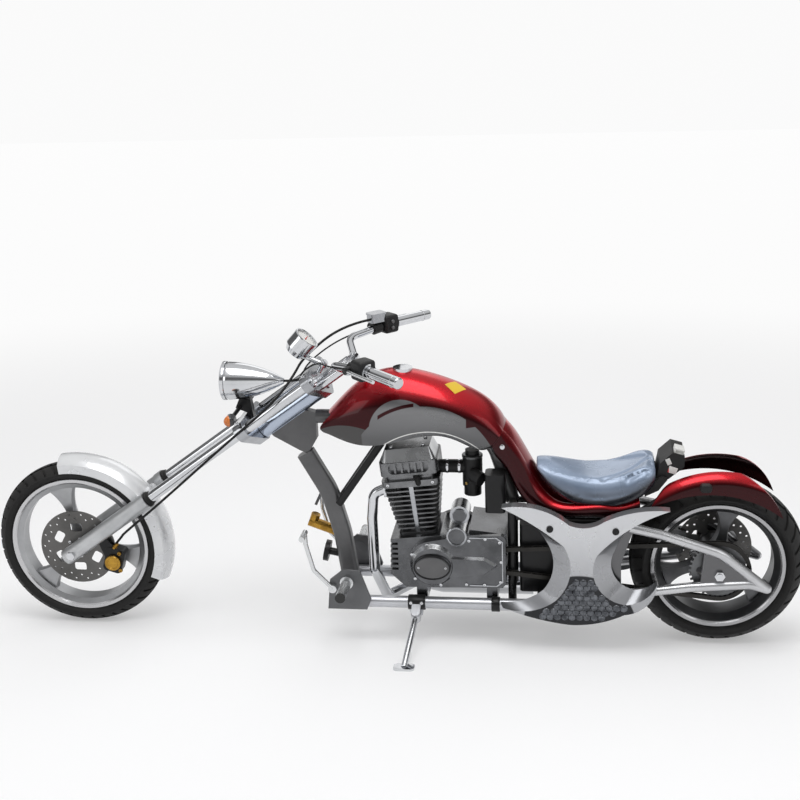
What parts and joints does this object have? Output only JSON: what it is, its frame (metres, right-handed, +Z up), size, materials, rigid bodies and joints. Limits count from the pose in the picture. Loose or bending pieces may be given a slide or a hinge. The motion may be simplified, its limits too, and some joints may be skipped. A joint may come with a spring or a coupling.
{
  "type": "chopper motorcycle",
  "caption": "Long-fork chopper motorcycle with a single-cylinder engine, solo seat and wide rear tyre, parked leaning on its side stand.",
  "frame": {"origin": "middle of the parked machine's box, on the floor", "axes": "+Z up from the floor, +X from the front wheel to the rear wheel, +Y to the machine's right"},
  "size_m": [2.5808, 0.7752, 1.012],
  "materials": {
    "tyre_rubber": "matte",
    "cast_alloy": "satin",
    "polished_alloy": "polished",
    "brake_steel": "brushed",
    "chrome": "polished",
    "black_paint": "gloss",
    "grey_paint": "satin",
    "candy_red": "gloss",
    "silver_paint": "gloss",
    "black_plastic": "matte",
    "black_rubber": "matte",
    "gold_anodised": "satin",
    "silver_vinyl": "gloss",
    "clear_lens": "gloss"
  },
  "bodies": {
    "chassis": {"rear_axle": "brake_steel", "frame_head": "grey_paint", "frame_spine": "black_paint", "frame_down_tube": "grey_paint", "frame_cradle": "grey_paint", "frame_struts": "black_paint", "frame_tail": "black_paint", "fuel_tank": "candy_red", "seat_body": "candy_red", "fuel_cap": "chrome", "seat": "silver_vinyl", "tail_tray": "black_plastic", "rear_guard_left": "candy_red", "rear_guard_right": "candy_red", "rear_lamps": "black_plastic", "side_panel_left": "silver_paint", "side_panel_right": "silver_paint", "battery_box": "black_plastic", "swingarm": "grey_paint", "crankcase": "cast_alloy", "cylinder": "polished_alloy", "cylinder_head": "polished_alloy", "starter_motor": "polished_alloy", "exhaust": "chrome", "carburettor": "black_plastic", "air_box": "black_plastic", "drive_chain": "black_paint", "front_sprocket": "brake_steel", "rear_caliper": "gold_anodised", "foot_control_left": "grey_paint", "foot_control_right": "grey_paint", "brake_pump": "gold_anodised", "horn": "black_paint"},
    "fork": {"fork_tubes": "chrome", "fork_sliders": "cast_alloy", "triple_clamps": "cast_alloy", "bar_risers": "chrome", "handlebar": "chrome", "grips": "chrome", "control_left": "black_plastic", "control_right": "black_plastic", "brake_reservoir": "cast_alloy", "headlight_shell": "chrome", "headlight_lens": "clear_lens", "lamp_bracket": "black_paint", "front_lamps": "black_plastic", "speedometer": "chrome", "front_fender": "silver_paint", "front_caliper": "gold_anodised", "brake_hose": "black_rubber", "control_cables": "black_rubber", "front_axle": "brake_steel"},
    "front_wheel": {"front_tyre": "tyre_rubber", "front_rim": "cast_alloy", "front_disc": "brake_steel"},
    "rear_wheel": {"rear_tyre": "tyre_rubber", "rear_rim": "cast_alloy", "rear_disc": "brake_steel", "rear_sprocket": "brake_steel"},
    "side_stand": {"stand_leg": "chrome"}
  },
  "joints": [
    {"name": "steering", "type": "hinge", "parent": "chassis", "child": "fork", "pos_m": [-0.29729, 0.01859, 0.73091], "axis": [0.8141, -0.0506, 0.5785], "range_deg": [-28, 28]},
    {"name": "front_wheel_spin", "type": "hinge", "parent": "fork", "child": "front_wheel", "pos_m": [-1.01051, 0.05812, 0.27913], "axis": [0, 0.9962, 0.0872], "continuous": true},
    {"name": "rear_wheel_spin", "type": "hinge", "parent": "chassis", "child": "rear_wheel", "pos_m": [1.02451, 0.05932, 0.26537], "axis": [0, 0.9962, 0.0872], "continuous": true},
    {"name": "stand_fold", "type": "hinge", "parent": "chassis", "child": "side_stand", "pos_m": [0.10201, -0.078, 0.1024], "axis": [0, -0.5285, 0.8489], "range_deg": [0, 94]}
  ]
}
